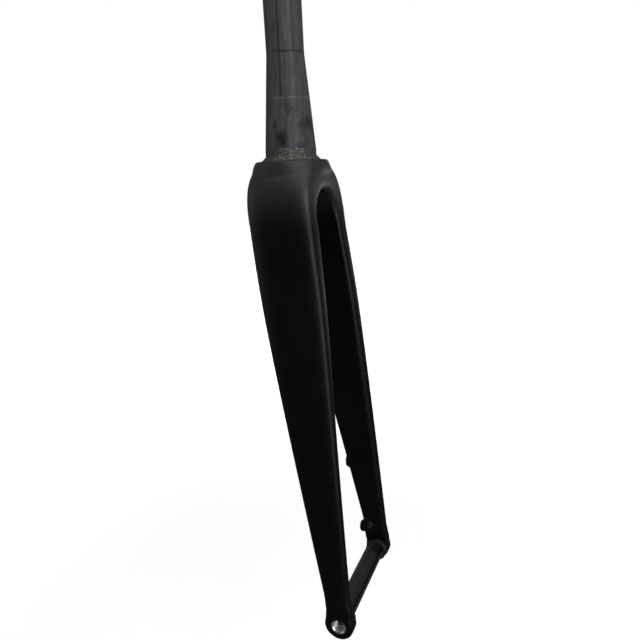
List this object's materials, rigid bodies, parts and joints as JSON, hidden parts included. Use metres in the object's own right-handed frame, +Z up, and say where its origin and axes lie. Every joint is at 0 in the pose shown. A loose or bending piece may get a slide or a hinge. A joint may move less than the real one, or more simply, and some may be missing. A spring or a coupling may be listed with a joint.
{
  "type": "carbon bicycle fork",
  "caption": "Rigid disc-brake bicycle fork moulded in one piece with its tapered steerer, with axle sleeves, brake inserts and a plastic dropout spacer.",
  "frame": {"origin": "on the steerer's axis, at the height of the ledge under the crown race seat, where the fork meets the head tube", "axes": "+Z up along the steerer, -Y to the front of the bicycle, +X to its left, the brake side"},
  "size_m": [0.12, 0.0875, 0.687],
  "materials": {
    "carbon": "matte black paint on the crown and blades, bare sanded carbon on the steerer",
    "aluminium": "turned",
    "rubber": "moulded",
    "moulded_plastic": "moulded"
  },
  "bodies": {
    "root": {"fork_body": "carbon", "threaded_axle_sleeve": "aluminium", "plain_axle_sleeve": "aluminium", "upper_brake_insert": "aluminium", "lower_brake_insert": "aluminium", "hose_grommet": "rubber", "dropout_spacer": "moulded_plastic"}
  },
  "joints": []
}
